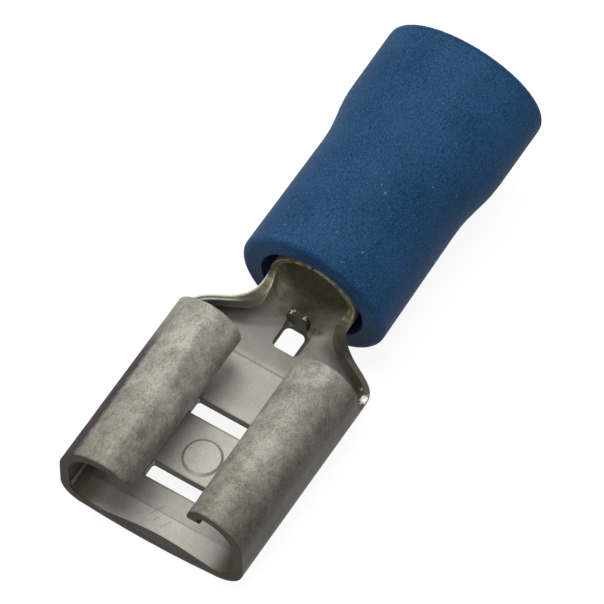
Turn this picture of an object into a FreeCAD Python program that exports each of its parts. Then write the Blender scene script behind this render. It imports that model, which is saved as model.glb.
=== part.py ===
"""Insulated female spade terminal for a 4.8 mm tab and 1.5 to 2.5 mm2 wire.

X runs from the mouth towards the wire entry, Y to the left seen from the mouth side, Z up.
The origin is the middle of the mouth, on the mid-plane of the tab that slides in.
Every shape is drawn with Z = 0 on the underside of the floor and lowered to that origin at the end.
"""
import FreeCAD, Part
import math
import os

V = FreeCAD.Vector

# Mating parts, in millimetres
TAB_THICKNESS = 0.8
BARREL_BORE_R = 1.15

# Sheet and socket
SHEET_T = 0.32
SOCKET_W = 6.2
SOCKET_LEN = 6.33
LEAD_IN_LEN = 0.77
LEAD_IN_DROP = 0.16
COIN_LEN = 0.2
COIN_DEPTH = 0.12
COIN_R = 8.0
CREASE_X = 6.45
CREASE_W = 0.06
CREASE_DEPTH = 0.02

# Rolled sides, at the mouth and at the rear: distance of the side from the middle, radius of the bend
# below it, height of the crown, radius outside it, radius of the curl and length of the straight lip.
# The right roll stands a little sprung open at the mouth, and both sides spread a little there.
HALF_W = SOCKET_W / 2
LEFT_SPREAD = 0.07
RIGHT_SPREAD = 0.04
LEFT_MOUTH_ROLL = dict(side_y=HALF_W + LEFT_SPREAD, bend_r=0.76, crown_z=3.08, crown_r=1.42, curl_r=0.9,
                       lip=0.4)
RIGHT_MOUTH_ROLL = dict(side_y=HALF_W + RIGHT_SPREAD, bend_r=1.12, crown_z=3.42, crown_r=1.3, curl_r=0.58,
                        lip=0.12)
REAR_ROLL = dict(side_y=HALF_W, bend_r=0.92, crown_z=2.78, crown_r=1.12, curl_r=1.06, lip=0.4)
LEFT_REAR_SLANT = 0.04
RIGHT_REAR_SLANT = -0.05
CURL_END_DEG = 205.0
LIP_CUT_LEN = 0.8
LIP_CUT_Z = 2.75

# Punched features of the floor lie on one line, a little left of the middle
PUNCH_LINE_Y = 0.15
WINDOW_LEN = 0.56
WINDOW_W = 2.4
WINDOW_CORNER_R = 0.1
FRONT_WINDOW_X = 1.6
REAR_WINDOW_X = 4.05
DETENT_X = 2.96
DETENT_R = 0.62
DETENT_TOP_R = 0.55
DETENT_RISE = 0.07

# Neck between socket and barrel
FLANGE_H = 0.97
FLANGE_BEVEL_W = 0.15
FLANGE_BEVEL_H = 0.16
SHOULDER_X = 6.8
NECK_END_X = 8.45
FLANGE_RISE_X = 7.55
NECK_STATIONS = 17
WIRE_STOP_X = 7.2
WIRE_STOP_LEN = 0.9
WIRE_STOP_W = 0.7
WIRE_STOP_CORNER_R = 0.2
TEAR_W = 0.22
TONGUE_T = 0.2
TONGUE_RISE = 0.58
TONGUE_CORNER_R = 0.2

# Crimp barrel
BARREL_X = 8.78
BARREL_LEN = 4.6
BARREL_ROOT_R = 0.33
BELL_X = 8.75
BELL_R = 1.26
BELL_RISE = 0.12
BELL_LEN = 0.45
SEAM_GAP = 0.1
MIN_FLAT = 0.01

# Insulating sleeve
SLEEVE_X = 8.72
SLEEVE_LEN = 8.63
SLEEVE_WAIST_R = 2.39
SLEEVE_WAIST_X = 12.9
SLEEVE_TAPER = 0.07
FLARE_X = 15.1
FLARE_STEP = 0.19
FLARE_WALL = 0.55
FLARE_STATIONS = 7
OVAL_POINTS = 24
SLEEVE_FRONT_EDGE_R = 0.2
SLEEVE_REAR_EDGE_R = 0.24
MOUTH_BORE_R = 1.76
MOUTH_TAPER_LEN = 0.75
SEAT_CLEARANCE = 0.02
THROAT_R = 1.3
THROAT_LEN = 0.25

# Worked out from the driving sizes
REAR_X = SOCKET_LEN + max(0, -LEFT_REAR_SLANT, -RIGHT_REAR_SLANT)
BARREL_R = BARREL_BORE_R + SHEET_T
BARREL_END_X = BARREL_X + BARREL_LEN
SLEEVE_END_X = SLEEVE_X + SLEEVE_LEN
SLEEVE_FRONT_R = SLEEVE_WAIST_R + SLEEVE_TAPER
FLARE_HALF_W = SLEEVE_FRONT_R + FLARE_STEP
FLARE_HALF_H = SLEEVE_WAIST_R - FLARE_STEP
SEAT_R = BARREL_R + SEAT_CLEARANCE
ORIGIN_Z = SHEET_T + TAB_THICKNESS / 2


def smooth(value, start, end):
    """Rise from 0 to 1 between start and end, level at both ends."""
    s = min(max((value - start) / (end - start), 0.0), 1.0)
    return s * s * s * (6 * s * s - 15 * s + 10)


def mix(a, b, share):
    return a + (b - a) * share


def polar(centre, radius, degrees):
    angle = math.radians(degrees)
    return (centre[0] + radius * math.cos(angle), centre[1] + radius * math.sin(angle))


def line(x, a, b):
    return Part.LineSegment(V(x, *a), V(x, *b)).toShape()


def arc(x, centre, radius, start, end):
    """Arc in the plane across X, from one angle to another, in degrees from +Y."""
    points = [V(x, *polar(centre, radius, a)) for a in (start, (start + end) / 2, end)]
    return Part.Arc(*points).toShape()


def mirrored(x, edges):
    """The same edges on the other side of the middle plane."""
    return [e.mirror(V(x, 0, 0), V(0, 1, 0)) for e in edges]


def closed_wire(edges):
    return Part.Wire(Part.sortEdges(edges)[0])


def rolls_at(x):
    """Sizes of the left and right roll at X: the sides taper evenly from the mouth to the rear."""
    share = x / REAR_X
    return [{name: mix(mouth[name], REAR_ROLL[name], share) for name in REAR_ROLL}
            for mouth in (LEFT_MOUTH_ROLL, RIGHT_MOUTH_ROLL)]


def side_edges(x, roll, inset):
    """One rolled side on +Y, from the floor to the lip. The inset is 0 outside and the sheet inside."""
    bend = (roll["side_y"] - roll["bend_r"], roll["bend_r"])
    crown = (roll["side_y"] - roll["crown_r"], roll["crown_z"] - roll["crown_r"])
    curl = (crown[0], roll["crown_z"] - roll["curl_r"])
    curl_r = roll["curl_r"] - inset
    curl_end = polar(curl, curl_r, CURL_END_DEG)
    lip = polar(curl_end, roll["lip"], CURL_END_DEG + 90)
    side_y = roll["side_y"] - inset
    edges = [arc(x, bend, roll["bend_r"] - inset, -90, 0)]
    edges.append(line(x, (side_y, bend[1]), (side_y, crown[1])))
    edges.append(arc(x, crown, roll["crown_r"] - inset, 0, 90))
    edges.append(arc(x, curl, curl_r, 90, CURL_END_DEG))
    edges.append(line(x, curl_end, lip))
    return edges, lip


def floor_edge(x, z, drop):
    """Floor line between the two side bends, bowed down in the middle by the drop."""
    left, right = [roll["side_y"] - roll["bend_r"] for roll in rolls_at(x)]
    if drop == 0:
        return line(x, (-right, z), (left, z))
    return Part.Arc(V(x, -right, z), V(x, 0, z - drop), V(x, left, z)).toShape()


def socket_section(x, drop):
    """Section through floor and rolls: one closed band of sheet."""
    edges = [floor_edge(x, 0, drop), floor_edge(x, SHEET_T, drop)]
    for roll, flip in zip(rolls_at(x), (False, True)):
        outer, outer_lip = side_edges(x, roll, 0)
        inner, inner_lip = side_edges(x, roll, SHEET_T)
        side = outer + inner + [line(x, outer_lip, inner_lip)]
        edges += mirrored(x, side) if flip else side
    return closed_wire(edges)


def prism(wire, direction):
    return Part.Face(wire).extrude(direction)


def along(box, direction):
    """Edges of a box that run along the direction."""
    return [e for e in box.Edges if abs(e.tangentAt(e.FirstParameter).dot(direction)) > 0.99]


def rounded_box(x, y, length, width, corner_r, z, height):
    """Upright cutter with rounded corners, its near face at X and centred on Y."""
    box = Part.makeBox(length, width, height, V(x, y - width / 2, z))
    return box.makeFillet(corner_r, along(box, V(0, 0, 1)))


def lip_cutter():
    """Cuts the front corner off both lips, so that a tab finds its way in."""
    top = V(-1, 0, LIP_CUT_Z)
    corner = V(0, 0, LIP_CUT_Z)
    back = V(LIP_CUT_LEN, 0, SHEET_T + TAB_THICKNESS)
    low = V(-1, 0, SHEET_T + TAB_THICKNESS)
    wire = Part.makePolygon([top, corner, back, low, top])
    reach = HALF_W - min(LEFT_MOUTH_ROLL["crown_r"], RIGHT_MOUTH_ROLL["crown_r"])
    solid = prism(wire, V(0, 2 * reach, 0))
    solid.translate(V(0, -reach, 0))
    return solid


def rear_cutter(slant, reach):
    """Trims one roll's rear end aslant above the flange. The reach is its side and distance in Y."""
    low = V(SOCKET_LEN, 0, FLANGE_H)
    crown = V(SOCKET_LEN - slant, 0, REAR_ROLL["crown_z"])
    high = low + (crown - low) * 2
    wire = Part.makePolygon([low, high, high + V(1, 0, 0), low + V(1, 0, 0), low])
    return prism(wire, V(0, reach, 0))


def coin_cutter():
    """Takes the upper corner off the floor's front edge, most in the middle."""
    low = SHEET_T - LEAD_IN_DROP
    start_z = low - COIN_DEPTH
    end_z = low + LEAD_IN_DROP * COIN_LEN / LEAD_IN_LEN
    end_r = COIN_R - (end_z - start_z)
    cone = Part.makeCone(COIN_R, end_r, COIN_LEN, V(0, 0, start_z + COIN_R), V(1, 0, 0))
    half = HALF_W - REAR_ROLL["bend_r"]
    return cone.common(Part.makeBox(COIN_LEN, 2 * half, SHEET_T, V(0, -half, 0)))


def crease_cutter():
    """Fine groove across the floor where the socket ends and the neck begins."""
    half = HALF_W - REAR_ROLL["bend_r"]
    near = V(CREASE_X - CREASE_W / 2, -half, SHEET_T)
    far = V(CREASE_X + CREASE_W / 2, -half, SHEET_T)
    bottom = V(CREASE_X, -half, SHEET_T - CREASE_DEPTH)
    return prism(Part.makePolygon([near, far, bottom, near]), V(0, 2 * half, 0))


def detent():
    """Raised round detent of the floor, and the matching hollow under it."""
    place = V(DETENT_X, PUNCH_LINE_Y, SHEET_T)
    boss = Part.makeCone(DETENT_R, DETENT_TOP_R, DETENT_RISE, place)
    hollow = boss.copy()
    hollow.translate(V(0, 0, -SHEET_T))
    return boss, hollow


def socket():
    """Floor and rolled sides, with the lead-in, the windows, the detent and the cut lips."""
    sections = [socket_section(0, LEAD_IN_DROP), socket_section(LEAD_IN_LEN, 0), socket_section(REAR_X, 0)]
    body = Part.makeLoft(sections, True, True)
    for x in (FRONT_WINDOW_X, REAR_WINDOW_X):
        window = rounded_box(x, PUNCH_LINE_Y, WINDOW_LEN, WINDOW_W, WINDOW_CORNER_R, -SHEET_T, 3 * SHEET_T)
        body = body.cut(window)
    boss, hollow = detent()
    body = body.fuse(boss).cut(hollow)
    trims = [rear_cutter(LEFT_REAR_SLANT, SOCKET_W), rear_cutter(RIGHT_REAR_SLANT, -SOCKET_W)]
    return body.cut([lip_cutter(), coin_cutter()] + trims)


def neck_half_width(x):
    return mix(HALF_W, BARREL_R, smooth(x, SHOULDER_X, NECK_END_X))


def quarter_ellipse(x, side_y, low_z, width, height):
    """Quarter of an ellipse, from the floor up into the side. Width is across, height is up."""
    poles = [V(x, side_y - width, low_z), V(x, side_y, low_z), V(x, side_y, low_z + height)]
    curve = Part.BSplineCurve()
    curve.buildFromPolesMultsKnots(poles, [3, 3], [0, 1], False, 2, [1, math.sqrt(0.5), 1])
    return curve.toShape()


def neck_section(x):
    """Section through the neck: a trough that goes from wide and flat to the lower half of the barrel."""
    step = 0.001
    rise = smooth(x, FLANGE_RISE_X, NECK_END_X)
    half = neck_half_width(x)
    slope = (neck_half_width(x + step) - neck_half_width(x - step)) / (2 * step)
    slant = math.hypot(1, slope)
    spread = (1 + slant) / 2
    bend_r = mix(REAR_ROLL["bend_r"], BARREL_R - MIN_FLAT, rise)
    top = mix(FLANGE_H, BARREL_R, rise)
    bevel_w = mix(FLANGE_BEVEL_W * slant, MIN_FLAT, rise)
    bevel_z = top - mix(FLANGE_BEVEL_H, MIN_FLAT / 2, rise)
    inside = half - SHEET_T * slant
    inner_z = bevel_z - MIN_FLAT / 2
    width = bend_r * spread
    inner_width = (bend_r - SHEET_T) * spread
    side = [quarter_ellipse(x, half, 0, width, bend_r), line(x, (half, bend_r), (half, top))]
    side.append(quarter_ellipse(x, inside, SHEET_T, inner_width, inner_z - SHEET_T))
    side.append(line(x, (inside, inner_z), (inside, bevel_z)))
    side.append(line(x, (inside, bevel_z), (inside + bevel_w, top)))
    side.append(line(x, (half, top), (inside + bevel_w, top)))
    edges = side + mirrored(x, side)
    edges.append(line(x, (width - half, 0), (half - width, 0)))
    edges.append(line(x, (inner_width - inside, SHEET_T), (inside - inner_width, SHEET_T)))
    return closed_wire(edges)


def wire_stop():
    """Tongue lanced out of the neck's hole and bent up behind it."""
    root = V(WIRE_STOP_X + WIRE_STOP_LEN, PUNCH_LINE_Y - WIRE_STOP_W / 2, SHEET_T / 2)
    tongue = Part.makeBox(TONGUE_T, WIRE_STOP_W, TONGUE_RISE + SHEET_T / 2, root)
    corners = [e for e in along(tongue, V(1, 0, 0)) if e.BoundBox.ZMin > SHEET_T]
    return tongue.makeFillet(TONGUE_CORNER_R, corners)


def torn_hole():
    """Hole in front of the tongue. The lancing left a slope down its right side."""
    left_y = PUNCH_LINE_Y + WIRE_STOP_W / 2
    sections = []
    for z in (-MIN_FLAT, SHEET_T + MIN_FLAT):
        width = WIRE_STOP_W + TEAR_W * z / SHEET_T
        slab = rounded_box(WIRE_STOP_X, left_y - width / 2, WIRE_STOP_LEN, width, WIRE_STOP_CORNER_R,
                           z - SHEET_T, SHEET_T)
        top = max(slab.Faces, key=lambda face: face.BoundBox.ZMin)
        sections.append(top.OuterWire)
    return Part.makeLoft(sections, True, True)


def neck():
    """Flat neck with low flanges that sweep in over the shoulders to the barrel."""
    start = prism(neck_section(REAR_X), V(SHOULDER_X - REAR_X, 0, 0))
    end = prism(neck_section(NECK_END_X), V(BARREL_X - NECK_END_X, 0, 0))
    step = (NECK_END_X - SHOULDER_X) / (NECK_STATIONS - 1)
    sections = [neck_section(SHOULDER_X + i * step) for i in range(NECK_STATIONS)]
    shoulders = Part.makeLoft(sections, True, False)
    body = start.fuse([shoulders, end])
    return body.cut([torn_hole(), crease_cutter()]).fuse(wire_stop())


def root_cutter():
    """Space in front of the barrel's upper half, with the curve between front edge and flanges."""
    x = BARREL_X - BARREL_ROOT_R
    curve_z = BARREL_R + BARREL_ROOT_R
    box = Part.makeBox(BARREL_ROOT_R, SOCKET_W, 2 * BARREL_R, V(x, -HALF_W, curve_z))
    curve = Part.makeCylinder(BARREL_ROOT_R, SOCKET_W, V(x, -HALF_W, curve_z), V(0, 1, 0))
    return box.fuse(curve)


def bell():
    """Cutter that opens the front of the barrel a little like a bell, most at the top."""
    end_r = BARREL_BORE_R - MIN_FLAT
    sections = []
    for x, radius, rise in ((-BELL_LEN, end_r, 0), (0, BELL_R, BELL_RISE), (BELL_LEN, end_r, 0)):
        circle = Part.makeCircle(radius, V(BELL_X + x, 0, BARREL_R + rise), V(1, 0, 0))
        sections.append(Part.Wire(circle))
    return Part.makeLoft(sections, True, True)


def barrel():
    """Crimp barrel, closed round to a butt seam on top. Its front edge curves out onto the flanges."""
    x = BARREL_X - BARREL_ROOT_R
    r = BARREL_R - MIN_FLAT
    low = (MIN_FLAT, r)
    high = (MIN_FLAT, BARREL_R)
    seam = math.degrees(math.acos((SEAM_GAP / 2 - MIN_FLAT) / r)) if SEAM_GAP / 2 > MIN_FLAT else 90
    side = []
    for radius in (r, r - SHEET_T):
        side.append(arc(x, low, radius, -90, 0))
        side.append(line(x, (MIN_FLAT + radius, low[1]), (MIN_FLAT + radius, high[1])))
        side.append(arc(x, high, radius, 0, seam))
    side.append(line(x, polar(high, r, seam), polar(high, r - SHEET_T, seam)))
    edges = side + mirrored(x, side)
    for z in (0, SHEET_T):
        edges.append(line(x, (-MIN_FLAT, z), (MIN_FLAT, z)))
    tube = prism(closed_wire(edges), V(BARREL_LEN + BARREL_ROOT_R, 0, 0))
    return tube.cut(root_cutter())


def receptacle():
    """The whole folded sheet."""
    return socket().fuse([neck(), barrel()]).cut(bell())


def oval(x, half_w, half_h):
    """Closed oval across X, centred on the barrel's axis."""
    turn = 2 * math.pi / OVAL_POINTS
    angles = [i * turn for i in range(OVAL_POINTS)]
    points = [V(x, half_w * math.cos(a), BARREL_R + half_h * math.sin(a)) for a in angles]
    curve = Part.BSplineCurve()
    curve.interpolate(Points=points, PeriodicFlag=True)
    return Part.Wire(curve.toShape())


def tapered(start_x, start_r, end_x, end_r):
    """Round solid between two plain sections, in the same kind of curve as the flare that follows it."""
    return Part.makeLoft([oval(start_x, start_r, start_r), oval(end_x, end_r, end_r)], True, True)


def flared(start_x, start_r, end_half_w, end_half_h):
    """Solid that runs from a circle to the oval at the start of the wire entry, level at both ends."""
    sections = []
    for i in range(FLARE_STATIONS):
        x = mix(start_x, FLARE_X, i / (FLARE_STATIONS - 1))
        share = smooth(x, start_x, FLARE_X)
        sections.append(oval(x, mix(start_r, end_half_w, share), mix(start_r, end_half_h, share)))
    straight = prism(sections[-1], V(SLEEVE_END_X - FLARE_X, 0, 0))
    return Part.makeLoft(sections, True, False).fuse(straight)


def edges_at(solid, x):
    """Edges that lie wholly in the plane at X."""
    return [e for e in solid.Edges if abs(e.BoundBox.XMin - x) < 0.001 and abs(e.BoundBox.XMax - x) < 0.001]


def sleeve_outside():
    """Slightly tapered cylinder over the barrel, flared to an oval, with soft end edges."""
    front = tapered(SLEEVE_X, SLEEVE_FRONT_R, SLEEVE_WAIST_X, SLEEVE_WAIST_R)
    body = front.fuse(flared(SLEEVE_WAIST_X, SLEEVE_WAIST_R, FLARE_HALF_W, FLARE_HALF_H)).Solids[0]
    body = body.makeFillet(SLEEVE_FRONT_EDGE_R, edges_at(body, SLEEVE_X))
    return body.makeFillet(SLEEVE_REAR_EDGE_R, edges_at(body, SLEEVE_END_X))


def sleeve_inside():
    """Bore: tapered mouth, seat on the barrel, stop shoulder behind it and funnel for the wire."""
    axis = V(1, 0, 0)
    mouth = Part.makeCone(MOUTH_BORE_R, SEAT_R, MOUTH_TAPER_LEN, V(SLEEVE_X, 0, BARREL_R), axis)
    stop_x = BARREL_END_X + SEAT_CLEARANCE
    seat = Part.makeCylinder(SEAT_R, stop_x - SLEEVE_X, V(SLEEVE_X, 0, BARREL_R), axis)
    throat = tapered(stop_x, THROAT_R, stop_x + THROAT_LEN, THROAT_R)
    inner_w = FLARE_HALF_W - FLARE_WALL
    inner_h = FLARE_HALF_H - FLARE_WALL
    funnel = flared(stop_x + THROAT_LEN, THROAT_R, inner_w, inner_h)
    return mouth.fuse([seat, throat, funnel])


def insulating_sleeve():
    """Moulded sleeve, gripping the barrel."""
    return sleeve_outside().cut(sleeve_inside())


def lowered(shape):
    shape.translate(V(0, 0, -ORIGIN_Z))
    return shape


def main():
    os.makedirs("parts", exist_ok=True)
    nodes = {"receptacle": receptacle(), "insulating_sleeve": insulating_sleeve()}
    for name, shape in nodes.items():
        solid = lowered(shape)
        solid.exportStep(f"parts/{name}.step")
        box = solid.BoundBox
        print(name, "solids", len(solid.Solids), "valid", solid.isValid(), "volume", round(solid.Volume, 3),
              "box", [round(v, 3) for v in (box.XMin, box.XMax, box.YMin, box.YMax, box.ZMin, box.ZMax)])


main()
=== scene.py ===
"""Looks of an insulated female spade terminal: its finishes, the floor it lies on, lamps and camera."""

import math

import bpy
from mathutils import Euler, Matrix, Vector

MM = 0.001

# Camera of the photograph, in the part's own axes
CAMERA_PLACE_MM = (-208.766, -148.529, 479.674)
CAMERA_TURN_DEG = (28.7662, 1.0963, -57.6014)
LENS_MM = 1112.69
SENSOR_MM = 36

# The terminal rests on the lower edge of its mouth and on the sleeve's front rim
FLOOR_TOUCH_X = 0.0
FLOOR_TOUCH_Z = -0.885
FLOOR_SLOPE = -0.0945
FLOOR_HALF_MM = 400.0
FLOOR_GREY = (0.14, 0.14, 0.14)
FLOOR_GLOW = (0.9, 0.9, 0.9)

# Square lamps: name, place and size in millimetres, watts. They point at the middle of the terminal.
LAMPS = (
    ("key", (150, 50, 450), 380, 2.05),
    ("left fill", (0, 420, 200), 200, 1.2),
    ("front fill", (-350, -40, 230), 250, 0.9),
    ("right fill", (50, -420, 200), 200, 0.5),
)
AIM_MM = (8.7, 0, 0)
SKY_STRENGTH = 0.16

# Places on the sheet, in millimetres
LEAD_IN_X = 0.82
FRONT_WINDOW_X = 1.6
REAR_GREY_X = 4.4
NECK_X = 6.45
BARREL_X = 8.78
FLOOR_TOP_Z = -0.4
FLANGE_TOP_Z = 0.25
TORN_START_X = 7.3
TORN_END_X = 8.3
TORN_RIGHT_Y = -0.4
TORN_LEFT_Y = 0.5
STREAK_Y = 2.85
DETENT_PLACE = (2.96, 0.15, -0.36)

# Height of the sleeve's own middle line
SLEEVE_AXIS_Z = 0.75

# Radius that rounds every edge of the sheet in the light, and width of the worn band along an edge
ROUNDING_MM = 0.03
WORN_EDGE_MM = 0.14
BEVEL_SAMPLES = 6

# Scales of the noises, per millimetre
BLOTCH_SCALE = 1.1
MOTTLE_SCALE = 3.4
GRAIN_SCALE = 17.0
MARK_WAVE_SCALE = 9.0
CLOUD_SCALE = 0.6
SPECKLE_SCALE = 20.0
DUST_SCALE = 9.0

# Colours of the metal
TIN_DARK = (0.13, 0.122, 0.1)
TIN_LIGHT = (0.385, 0.37, 0.325)
# Clean tin of the floor, painted lighter as a painted highlight
TIN_CLEAN_LIT = (0.46, 0.45, 0.41)
# Olive tarnish of the barrel, painted light enough to stand for the light inside it
OLIVE_DARK = (0.2, 0.188, 0.125)
OLIVE_LIGHT = (0.42, 0.4, 0.28)
STAIN_PURPLE = (0.03, 0.018, 0.031)
SCRATCH_BROWN = (0.08, 0.075, 0.06)
# Painted highlight streak low inside the left roll
STREAK_HIGHLIGHT = (0.6, 0.58, 0.46)
# Painted highlight on the left flange's worn edge, and dark painted shade on the right flange's top
WORN_EDGE_HIGHLIGHT = (0.95, 0.92, 0.8)
RIGHT_TOP_SHADE = (0.05, 0.042, 0.03)
# Bare brass of the cut faces, painted dark as painted shade on the window walls and the tongue
CUT_BRASS_SHADED = (0.032, 0.026, 0.02)
EDGE_BROWN = (0.05, 0.034, 0.028)
EDGE_GOLD = (0.5, 0.46, 0.33)
GOLD = (0.4, 0.27, 0.09)
# Painted highlight of burrs and edges
BURR_HIGHLIGHT = (0.75, 0.73, 0.66)

# Factors that darken the metal; those for the right side, the inward faces, the flange tops, the bends, the
# depth of the barrel and its rim are painted shade
FLOOR_DULL = (0.6, 0.6, 0.59)
NECK_DULL = (0.45, 0.45, 0.44)
MOUTH_DULL = (0.5, 0.49, 0.45)
RIGHT_SIDE_SHADE = (0.4, 0.4, 0.38)
INNER_FACE_SHADE = (0.35, 0.33, 0.27)
FLANGE_TOP_SHADE = (0.7, 0.68, 0.6)
BEND_SHADE = (0.42, 0.4, 0.32)
RIGHT_BEND_SHADE = (0.45, 0.43, 0.37)
BARREL_DEEP_SHADE = (0.55, 0.53, 0.5)
RIM_SHADE = (0.4, 0.38, 0.3)

# Colours of the sleeve, and the factor of painted shade inside it
SLEEVE_DARK = (0.003, 0.022, 0.061)
SLEEVE_LIGHT = (0.018, 0.069, 0.155)
SLEEVE_INSIDE_SHADE = (0.4, 0.3, 0.45)
DUST = (0.3, 0.36, 0.42)

# Small marks on the metal: place and radius in millimetres, strength and colour
METAL_MARKS = (
    ((8.78, 0.45, 2.14), 0.16, 0.9, GOLD),
    # Painted highlights on burrs of the barrel's rim, the tongue and the right roll's rear
    ((8.78, 0.24, 2.28), 0.08, 1.0, BURR_HIGHLIGHT),
    ((8.24, 0.39, 0.18), 0.09, 0.8, BURR_HIGHLIGHT),
    ((8.21, -0.07, 0.18), 0.08, 0.8, BURR_HIGHLIGHT),
    ((7.03, -2.66, 0.25), 0.16, 0.7, BURR_HIGHLIGHT),
    ((6.8, -3.05, 0.2), 0.2, 0.8, BURR_HIGHLIGHT),
    # Painted reflection, a soft bright patch inside the barrel's entrance
    ((8.66, 1.15, 0.14), 0.35, 0.45, BURR_HIGHLIGHT),
)
MARK_WAVE_MM = 0.15

# Scratches on the lead-in, from one end to the other, as X and Y
SCRATCHES = (((0.6, 0.48), (1.04, 0.23)), ((0.42, -0.02), (0.7, -0.2)), ((0.5, 0.28), (0.66, 0.19)))
SCRATCH_HALF_W = 0.02

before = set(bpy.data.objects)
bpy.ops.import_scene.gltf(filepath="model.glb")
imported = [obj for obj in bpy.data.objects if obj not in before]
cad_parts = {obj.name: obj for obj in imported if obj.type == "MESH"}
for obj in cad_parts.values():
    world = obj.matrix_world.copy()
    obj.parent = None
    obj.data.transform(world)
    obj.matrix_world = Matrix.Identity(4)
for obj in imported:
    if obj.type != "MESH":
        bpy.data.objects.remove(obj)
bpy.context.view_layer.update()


class Value:
    """A shader socket that can stand in sums."""

    def __init__(self, finish, socket):
        self.finish = finish
        self.socket = socket

    def __add__(self, other):
        return self.finish.calculate("ADD", self, other)

    def __radd__(self, other):
        return self.finish.calculate("ADD", other, self)

    def __sub__(self, other):
        return self.finish.calculate("SUBTRACT", self, other)

    def __rsub__(self, other):
        return self.finish.calculate("SUBTRACT", other, self)

    def __mul__(self, other):
        return self.finish.calculate("MULTIPLY", self, other)

    def __rmul__(self, other):
        return self.finish.calculate("MULTIPLY", other, self)

    def __abs__(self):
        return self.finish.calculate("ABSOLUTE", self)


class Finish:
    """A material made of nodes, with one Principled surface."""

    def __init__(self, name, **constants):
        self.material = bpy.data.materials.new(name)
        self.material.use_nodes = True
        self.tree = self.material.node_tree
        self.surface = self.tree.nodes["Principled BSDF"]
        for socket, value in constants.items():
            self.surface.inputs[socket.replace("_", " ")].default_value = value

    def node(self, kind, settings=None, sockets=None, output=0):
        """One node of that kind. Its settings are made first, then its sockets get numbers or links."""
        made = self.tree.nodes.new(kind)
        for name, value in (settings or {}).items():
            setattr(made, name, value)
        for name, value in (sockets or {}).items():
            if isinstance(value, Value):
                self.tree.links.new(value.socket, made.inputs[name])
            else:
                made.inputs[name].default_value = value
        return Value(self, made.outputs[output])

    def drive(self, socket, value):
        """The surface's socket follows this value."""
        self.tree.links.new(value.socket, self.surface.inputs[socket])

    def calculate(self, operation, *terms):
        return self.node("ShaderNodeMath", {"operation": operation}, dict(enumerate(terms)))

    def larger(self, first, second):
        return self.calculate("MAXIMUM", first, second)

    def vector(self, operation, *terms, output=0):
        return self.node("ShaderNodeVectorMath", {"operation": operation}, dict(enumerate(terms)), output)

    def place(self):
        """Object coordinates in millimetres."""
        coordinates = self.node("ShaderNodeTexCoord", output="Object")
        return self.node("ShaderNodeMapping", None, {"Vector": coordinates, "Scale": [1 / MM] * 3})

    def facing(self):
        return self.node("ShaderNodeNewGeometry", output="Normal")

    def axes(self, vector):
        return [self.node("ShaderNodeSeparateXYZ", None, {0: vector}, i) for i in range(3)]

    def noise(self, place, scale, detail=3.0, roughness=0.55, distortion=0.0):
        sockets = {"Vector": place, "Scale": scale, "Detail": detail, "Roughness": roughness,
                   "Distortion": distortion}
        return self.node("ShaderNodeTexNoise", None, sockets)

    def rounded(self, radius_mm):
        """Normal with the edges rounded."""
        return self.node("ShaderNodeBevel", {"samples": BEVEL_SAMPLES}, {"Radius": radius_mm * MM})

    def bump(self, height, depth_mm, strength, under=None):
        sockets = {"Height": height, "Distance": depth_mm * MM, "Strength": strength}
        if under:
            sockets["Normal"] = under
        return self.node("ShaderNodeBump", None, sockets)

    def ramp(self, value, start, end):
        """Smooth step from 0 at start to 1 at end."""
        sockets = {"Value": value, "From Min": start, "From Max": end}
        return self.node("ShaderNodeMapRange", {"interpolation_type": "SMOOTHSTEP"}, sockets)

    def near(self, value, middle, half_width):
        """1 at the middle, falling to 0 at half the width to either side."""
        return 1 - self.ramp(abs(value - middle), 0.0, half_width)

    def between(self, value, low, high, soft):
        """1 between two limits, with a soft step outside each."""
        return self.ramp(value, low - soft, low) * (1 - self.ramp(value, high, high + soft))

    def spot(self, place, centre, radius):
        """Round spot: 1 at the centre, 0 from the radius on."""
        distance = self.vector("DISTANCE", place, centre, output=1)
        return 1 - self.ramp(distance, radius * 0.4, radius)

    def colour(self, share, first, second, way="MIX"):
        """Mix of two colours, from the first at 0 to the second at 1."""
        settings = {"data_type": "RGBA", "blend_type": way}
        first, second = [c if isinstance(c, Value) else (*c, 1.0) for c in (first, second)]
        return self.node("ShaderNodeMix", settings, {0: share, 6: first, 7: second}, 2)

    def shade(self, share, colour, factor):
        """The colour times a factor, by a share, so that its pattern stays."""
        return self.colour(share, colour, factor, "MULTIPLY")


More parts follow.
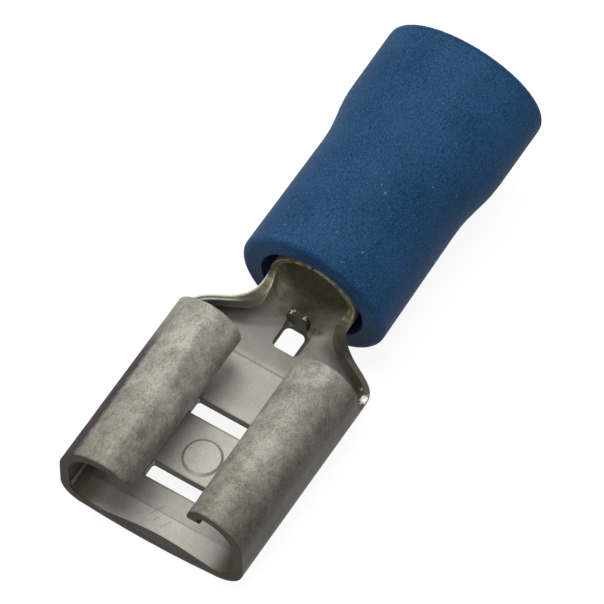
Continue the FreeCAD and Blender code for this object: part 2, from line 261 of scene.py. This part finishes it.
class TinPlate(Finish):
    """Matt tin over brass sheet: mottled on the rolls, cleaner and painted lighter on the floor, brown
    where it was sheared, with painted shade and highlights in places.
    """

    def __init__(self):
        super().__init__("tin_plate", Specular_IOR_Level=0.15, Specular_Tint=(0.6, 0.6, 0.6, 1))
        self.point = self.place()
        self.x, self.y, self.z = self.axes(self.point)
        self.normal = self.facing()
        self.facing_x, self.facing_y, self.facing_z = self.axes(self.normal)
        self.outward = self.facing_y * self.y
        self.left = self.ramp(self.y, 0.0, 0.5)
        self.rolled = self.ramp(self.z, FLOOR_TOP_Z + 0.2, FLOOR_TOP_Z + 1.1)
        self.low = 1 - self.rolled
        self.blotches = self.noise(self.point, BLOTCH_SCALE, 3.0, 0.6, 0.3)
        self.mottle = self.noise(self.point, MOTTLE_SCALE, 4.0, 0.7, 0.3)
        self.grain = self.noise(self.point, GRAIN_SCALE, 3.0, 0.75)
        self.tone = self.mottled_tone()
        self.edge = self.worn_edge()

    def mottled_tone(self):
        """Lightness of the tarnish, around 0.5, stronger on the rolls."""
        swing = (self.blotches - 0.5) * 0.8 + (self.mottle - 0.5) * 0.9 + (self.grain - 0.5) * 1.15
        return 0.5 + swing * (0.5 + self.rolled * 0.15)

    def worn_edge(self):
        """1 along sharp edges, where a wide rounding would turn the surface."""
        turned = self.vector("DOT_PRODUCT", self.normal, self.rounded(WORN_EDGE_MM), output=1)
        return 1 - self.ramp(turned, 0.85, 0.99)

    def shaded_right_side(self):
        """Painted shade on the outer side of the right roll and flange."""
        return self.ramp(0 - self.facing_y, 0.3, 0.95) * (1 - self.ramp(self.y, -2.2, -1.6))

    def purple_stain(self):
        """Tarnish high on the left roll's outer flank, ragged below and fading to the rear."""
        ragged_facing = self.facing_y + (self.mottle - 0.5) * 0.3
        ragged_z = self.z + (self.blotches - 0.5) + (self.mottle - 0.5) * 1.5
        flank = self.ramp(ragged_facing, 0.56, 0.7) * self.ramp(self.y, 2.2, 2.7)
        return flank * (1 - self.ramp(self.x, 3.8, 6.0)) * self.ramp(ragged_z, 0.5, 1.5)

    def bare_metal(self):
        """Sheared faces, the coined edge of the mouth, and the torn hole with its tongue, all bare brass;
        their dark colour is also painted shade on the window walls and the tongue's face.
        """
        sheared = self.ramp(abs(self.facing_x), 0.8, 0.96) * (0.85 - self.rolled * 0.65)
        coined = self.ramp(0 - self.facing_x, 0.15, 0.5) * (1 - self.ramp(self.x, 0.2, 0.3))
        torn_x = self.between(self.x, TORN_START_X, TORN_END_X, 0.02)
        torn_y = self.between(self.y, TORN_RIGHT_Y, TORN_LEFT_Y, 0.02)
        steep = 1 - self.ramp(self.facing_z, 0.93, 0.99)
        raised = self.ramp(self.z, FLOOR_TOP_Z + 0.02, FLOOR_TOP_Z + 0.1)
        torn = torn_x * torn_y * self.larger(steep, raised)
        return self.larger(self.larger(sheared, coined), torn)

    def mottled(self):
        """Blotched and grainy tin, less mottled on the floor and painted lighter there as a painted
        highlight, but greyer before and behind the windows.
        """
        colour = self.colour(self.ramp(self.tone, 0.2, 0.8), TIN_DARK, TIN_LIGHT)
        # the floor painted lighter, a painted highlight
        colour = self.colour(self.low * 0.5, colour, TIN_CLEAN_LIT)
        before = self.between(self.x, LEAD_IN_X, FRONT_WINDOW_X, 0.05)
        behind = self.ramp(self.x, REAR_GREY_X, REAR_GREY_X + 0.8)
        return self.shade(self.low * self.larger(before, behind) * 0.5, colour, FLOOR_DULL)

    def darkened_and_shaded(self, colour, shaded_right_side):
        """Darker neck and mouth, painted shade on the outer right side, and painted shade on the faces that
        turn inward low down.
        """
        neck = self.ramp(self.x, NECK_X - 0.1, NECK_X + 0.3)
        colour = self.shade(neck * 0.6, colour, NECK_DULL)
        front = self.rolled * (1 - self.ramp(self.x, 0.0, 4.0))
        colour = self.shade(front * 0.6, colour, MOUTH_DULL)
        # painted shade on the outer right side
        colour = self.shade(shaded_right_side, colour, RIGHT_SIDE_SHADE)
        # painted shade on the inward faces of the flanges and bends, stronger on the left
        inward = self.ramp(0 - self.outward, 0.5, 1.6) * (1 - self.ramp(self.z, 0.3, 0.9))
        return self.shade(inward * (0.15 + self.left * 0.5), colour, INNER_FACE_SHADE)

    def shaded_corners(self, colour):
        """Painted shade in the bends between the floor and the sides, more of it at the right of the mouth.
        """
        bend = self.ramp(abs(self.y), 1.8, 2.5) * (1 - self.ramp(self.z, -0.1, 0.8))
        bend = bend * (1 - self.ramp(self.outward, 0.0, 0.5))
        colour = self.shade(bend * 0.9, colour, BEND_SHADE)
        right_mouth = bend * (1 - self.left) * (1 - self.ramp(self.x, 3.0, 5.0))
        return self.shade(right_mouth * 0.5, colour, RIGHT_BEND_SHADE)

    def tarnished_lit_and_shaded_barrel(self, colour):
        """Olive tarnish on the barrel, painted light enough to stand for the light inside it, and painted
        shade behind its front edge.
        """
        olive = self.colour(self.ramp(self.tone, 0.3, 0.7), OLIVE_DARK, OLIVE_LIGHT)
        barrel = self.ramp(self.x, BARREL_X - 1.0, BARREL_X + 0.1)
        colour = self.colour(barrel * 0.85, colour, olive)
        # painted shade deeper inside the barrel
        return self.shade(self.ramp(self.x, BARREL_X, BARREL_X + 0.6), colour, BARREL_DEEP_SHADE)

    def scratch(self, start, end):
        """Fine line on the floor between two places."""
        length = math.dist(start, end)
        ahead_x, ahead_y = [(e - s) / length for s, e in zip(start, end)]
        from_x = self.x - start[0]
        from_y = self.y - start[1]
        along = from_x * ahead_x + from_y * ahead_y
        across = from_x * ahead_y - from_y * ahead_x
        return self.near(across, 0.0, SCRATCH_HALF_W) * self.between(along, 0.0, length, 0.04)

    def scratched_and_highlit(self, colour):
        """The line behind the lead-in, fine scratches on it, and a painted highlight streak low inside the
        left roll.
        """
        worn = self.near(self.x, LEAD_IN_X, 0.03) * self.between(self.y, -0.9, 1.2, 0.5) * self.low * 0.4
        for start, end in SCRATCHES:
            worn = self.larger(worn, self.scratch(start, end) * self.low * 0.6)
        colour = self.colour(worn, colour, SCRATCH_BROWN)
        # painted highlight along the left roll's inner bend
        streak = self.near(self.y, STREAK_Y, 0.05) * self.between(self.x, 0.1, 0.97, 0.06)
        streak = streak * (1 - self.ramp(self.z, 0.0, 0.1))
        return self.colour(streak * 0.7, colour, STREAK_HIGHLIGHT)

    def flange_tops(self, colour):
        """Tops of the flanges, which climb to the barrel: the left top gets painted shade with its worn
        edge painted bright as a highlight, the right top dark brown painted shade.
        """
        climb = self.ramp(self.x, BARREL_X - 1.2, BARREL_X - 0.3) * 0.6
        top = self.between(self.z - climb - FLANGE_TOP_Z, -0.13, 0.1, 0.06)
        top = top * self.between(self.x, NECK_X, BARREL_X - 0.4, 0.3) * self.ramp(self.facing_z, 0.3, 0.6)
        # painted shade on the left flange's top, a painted highlight on its worn edge, and painted shade on
        # the right top
        colour = self.shade(top * self.left, colour, FLANGE_TOP_SHADE)
        colour = self.colour(top * self.left * self.edge * 0.85, colour, WORN_EDGE_HIGHLIGHT)
        return self.colour(top * (1 - self.left) * 0.85, colour, RIGHT_TOP_SHADE)

    def edged(self, colour):
        """Painted shade on the barrel's rim, dark edges on the socket and broken gold ones on the barrel.
        """
        at_rim = self.between(self.x, BARREL_X - 0.4, BARREL_X + 0.1, 0.2)
        rim = self.ramp(0 - self.facing_x, 0.2, 0.5) * at_rim
        # painted shade on the barrel's front rim
        colour = self.shade(rim * self.rolled, colour, RIM_SHADE)
        around_detent = self.spot(self.point, DETENT_PLACE, 1.2)
        socket_edge = self.edge * (1 - self.ramp(self.x, 5.0, 6.0)) * (1 - around_detent * 0.6)
        colour = self.colour(socket_edge * 0.8, colour, EDGE_BROWN)
        broken = self.ramp(self.mottle, 0.42, 0.55)
        barrel_edge = self.edge * self.ramp(self.x, BARREL_X - 0.6, BARREL_X - 0.3) * broken
        return self.colour(barrel_edge * 0.7, colour, EDGE_GOLD)

    def marked(self, colour):
        """The small marks, with ragged outlines: a gold spot, painted highlights on burrs and edges, and a
        painted reflection inside the barrel.
        """
        waves = self.node("ShaderNodeTexNoise", None, {"Vector": self.point, "Scale": MARK_WAVE_SCALE}, 1)
        shift = self.vector("MULTIPLY_ADD", waves, [2 * MARK_WAVE_MM] * 3, [-MARK_WAVE_MM] * 3)
        ragged = self.vector("ADD", self.point, shift)
        for centre, radius, strength, mark in METAL_MARKS:
            colour = self.colour(self.spot(ragged, centre, radius) * strength, colour, mark)
        return colour

    def finished(self):
        """All layers, from the tin up to the marks."""
        shaded_right_side = self.shaded_right_side()
        stain = self.purple_stain()
        brass = self.bare_metal()
        colour = self.darkened_and_shaded(self.mottled(), shaded_right_side)
        colour = self.tarnished_lit_and_shaded_barrel(self.shaded_corners(colour))
        colour = self.colour(stain * 0.9, colour, STAIN_PURPLE)
        colour = self.flange_tops(self.scratched_and_highlit(colour))
        colour = self.colour(brass * 0.9, colour, CUT_BRASS_SHADED)
        self.drive("Base Color", self.marked(self.edged(colour)))
        self.drive("Metallic", 0.4 - brass * 0.3 - shaded_right_side * 0.25 - stain * 0.35)
        self.drive("Roughness", 0.5 + (self.mottle - 0.5) * 0.15 + brass * 0.1 + stain * 0.3)
        uneven = self.bump(self.mottle, 0.02, 0.15, self.rounded(ROUNDING_MM))
        self.drive("Normal", self.bump(self.grain, 0.008, 0.6, uneven))
        return self.material


def sleeve_plastic():
    """Matt deep blue PVC with a fine speckle and some dust, with painted shade inside."""
    vinyl = Finish("sleeve_plastic", Specular_IOR_Level=0.1)
    place = vinyl.place()
    clouds = vinyl.noise(place, CLOUD_SCALE, 3.0)
    speckle = vinyl.noise(place, SPECKLE_SCALE, 3.0, 0.8)
    tone = (clouds - 0.5) * 0.4 + (speckle - 0.5) * 2.2 + 0.5
    colour = vinyl.colour(vinyl.ramp(tone, 0.2, 0.8), SLEEVE_DARK, SLEEVE_LIGHT)
    x, y, z = vinyl.axes(place)
    facing_x, facing_y, facing_z = vinyl.axes(vinyl.facing())
    inside = 1 - vinyl.ramp(facing_y * y + facing_z * (z - SLEEVE_AXIS_Z), -0.4, 0.0)
    # painted shade on the faces inside the sleeve
    colour = vinyl.shade(inside, colour, SLEEVE_INSIDE_SHADE)
    dust = vinyl.ramp(vinyl.noise(place, DUST_SCALE, 1.0, 0.3), 0.76, 0.86)
    vinyl.drive("Base Color", vinyl.colour(dust * 0.45, colour, DUST))
    vinyl.drive("Roughness", 0.5 + speckle * 0.2)
    vinyl.drive("Normal", vinyl.bump(speckle, 0.012, 0.35))
    return vinyl.material


def paper_white():
    """As bright as paper where the camera or the metal sees it, but dim as a lit floor, so shadows stay."""
    paper = Finish("floor_white", Base_Color=(*FLOOR_GREY, 1), Roughness=0.9, Specular_IOR_Level=0.0,
                   Emission_Strength=1.0)
    seen = [paper.node("ShaderNodeLightPath", output=ray) for ray in ("Is Camera Ray", "Is Glossy Ray")]
    paper.drive("Emission Color", paper.colour(paper.larger(*seen), (0.0, 0.0, 0.0), FLOOR_GLOW))
    return paper.material


def dress(node, material):
    """Gives a CAD node its finish, on all faces."""
    node.data.materials.clear()
    node.data.materials.append(material)


def pale_floor():
    """Plain floor that the terminal lies on."""
    bpy.ops.object.select_all(action="DESELECT")
    bpy.ops.mesh.primitive_plane_add(size=2 * FLOOR_HALF_MM * MM)
    floor = bpy.context.object
    floor.name = "floor"
    floor.location = (FLOOR_TOUCH_X * MM, 0, FLOOR_TOUCH_Z * MM)
    floor.rotation_euler = (0, -math.atan(FLOOR_SLOPE), 0)
    floor.data.materials.append(paper_white())


def lamp(name, place_mm, size_mm, watts):
    light = bpy.data.lights.new(name, "AREA")
    light.size = size_mm * MM
    light.energy = watts
    made = bpy.data.objects.new(name, light)
    bpy.context.collection.objects.link(made)
    made.location = Vector(place_mm) * MM
    aim = Vector(AIM_MM) * MM - made.location
    made.rotation_euler = aim.to_track_quat("-Z", "Y").to_euler()


def studio():
    """An even white sky and the lamps."""
    world = bpy.data.worlds.new("studio")
    bpy.context.scene.world = world
    world.use_nodes = True
    sky = world.node_tree.nodes["Background"]
    sky.inputs["Color"].default_value = (1, 1, 1, 1)
    sky.inputs["Strength"].default_value = SKY_STRENGTH
    for settings in LAMPS:
        lamp(*settings)
    bpy.context.scene.view_settings.view_transform = "Standard"


def photograph_camera():
    data = bpy.data.cameras.new("camera")
    data.sensor_width = SENSOR_MM
    data.lens = LENS_MM
    camera = bpy.data.objects.new("camera", data)
    bpy.context.collection.objects.link(camera)
    camera.location = Vector(CAMERA_PLACE_MM) * MM
    camera.rotation_euler = Euler([math.radians(a) for a in CAMERA_TURN_DEG])
    bpy.context.scene.camera = camera


photograph_camera()
studio()
pale_floor()
dress(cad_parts["receptacle"], TinPlate().finished())
dress(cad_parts["insulating_sleeve"], sleeve_plastic())
